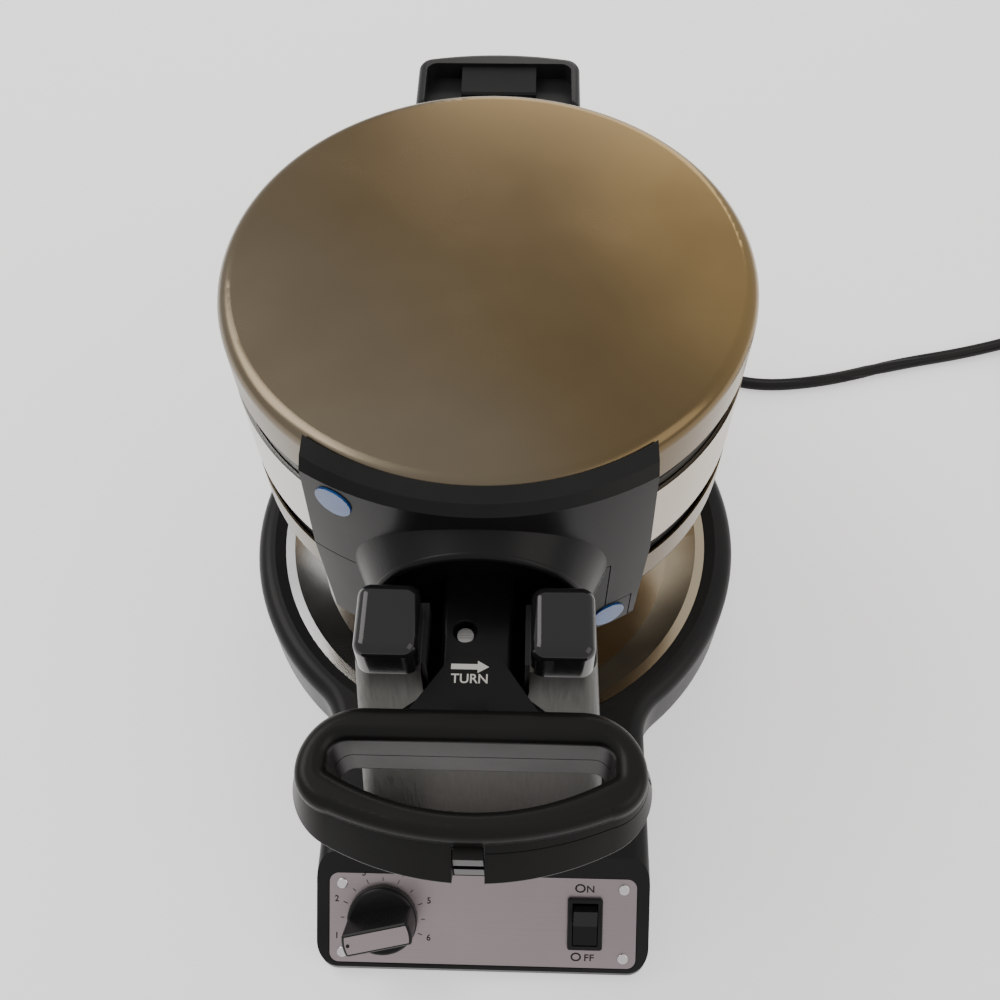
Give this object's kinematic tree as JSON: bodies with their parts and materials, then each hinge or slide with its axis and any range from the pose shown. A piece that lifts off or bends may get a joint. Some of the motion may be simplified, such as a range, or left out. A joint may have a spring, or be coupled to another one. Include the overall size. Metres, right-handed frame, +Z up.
{
  "type": "double waffle maker",
  "caption": "Rotary waffle maker for two round waffles: a double-sided steel head turns in a rear tower and a front cradle above a base with a drip tray, a heat dial and a switch",
  "frame": {"origin": "on the floor under the middle of the appliance's box, cord left out", "axes": "+Z up, -Y to the front where the handle and the controls are, +X to the right seen from the front"},
  "size_m": [0.5347, 0.3761, 0.224],
  "materials": {
    "black_plastic": "satin moulded",
    "gloss_black": "polished",
    "grey_plastic": "satin grey",
    "stainless": "polished stainless",
    "brushed": "brushed",
    "cast": "dark non-stick coating",
    "steel": "plain machined",
    "zinc": "bright plated",
    "element": "oxidised",
    "lens": "translucent",
    "nylon": "plain",
    "rubber": "matte",
    "board": "laminate",
    "brass": "bright",
    "ceramic": "plain"
  },
  "bodies": {
    "root_base": {"base_housing": "black_plastic", "bottom_cover": "zinc", "rubber_feet": "rubber", "control_plate": "brushed", "plate_rivets": "stainless", "dial_control": "zinc", "switch_bezel": "black_plastic", "control_board": "board", "front_pedestal": "grey_plastic", "cradle_liner": "nylon", "cradle_block_left": "gloss_black", "cradle_block_right": "gloss_black", "pedestal_screws": "steel", "rear_tower": "black_plastic", "rear_bush": "nylon", "strain_relief": "rubber", "power_cord": "rubber", "cord_coil": "rubber", "cord_plug": "rubber", "plug_blades": "brass", "cord_tie": "rubber"},
    "tray": {"drip_tray": "stainless"},
    "knob": {"dial_knob": "black_plastic", "knob_insert": "brushed"},
    "rocker": {"switch_rocker": "gloss_black"},
    "head": {"middle_ring": "stainless", "middle_plate_upper": "cast", "middle_plate_upper_rim": "cast", "middle_plate_lower": "cast", "middle_plate_lower_rim": "cast", "middle_element": "element", "plate_spacers": "steel", "thermal_fuse": "ceramic", "hinge_block": "steel", "head_shaft": "steel", "shaft_collar": "steel", "upper_hinge_pin": "steel", "lower_hinge_pin": "steel", "lower_lid_cover": "stainless", "lower_lid_plate": "cast", "lower_lid_plate_rim": "cast", "lower_lid_element": "element", "lower_lid_thermostat": "ceramic", "lower_hinge_arm": "steel", "lower_front_panel": "black_plastic", "lower_neck": "black_plastic", "lower_neck_screw": "steel", "lower_handle": "black_plastic", "lower_lens": "lens"},
    "upper_lid": {"upper_lid_cover": "stainless", "upper_lid_plate": "cast", "upper_lid_plate_rim": "cast", "upper_lid_element": "element", "upper_lid_thermostat": "ceramic", "upper_hinge_arm": "steel", "upper_front_panel": "black_plastic", "upper_lens": "lens", "upper_neck": "black_plastic", "upper_neck_screw": "steel", "upper_handle": "black_plastic"}
  },
  "joints": [
    {"name": "head_turn", "type": "hinge", "parent": "root_base", "child": "head", "pos_m": [0, 0.15034, 0.174], "axis": [0, 1, 0], "range_deg": [0, 180]},
    {"name": "upper_lid_open", "type": "hinge", "parent": "head", "child": "upper_lid", "pos_m": [0, 0.13134, 0.199], "axis": [1, 0, 0], "range_deg": [-95, 0]},
    {"name": "knob_turn", "type": "hinge", "parent": "root_base", "child": "knob", "pos_m": [-0.043, -0.16483, 0.02056], "axis": [0, 0.6018, -0.7986], "range_deg": [0, 215]},
    {"name": "rocker_tilt", "type": "hinge", "parent": "root_base", "child": "rocker", "pos_m": [0.044, -0.16423, 0.01976], "axis": [-1, 0, 0], "range_deg": [0, 24]},
    {"name": "tray_lift", "type": "slide", "parent": "root_base", "child": "tray", "axis": [0, 0, 1], "range_m": [0, 0.04]}
  ]
}
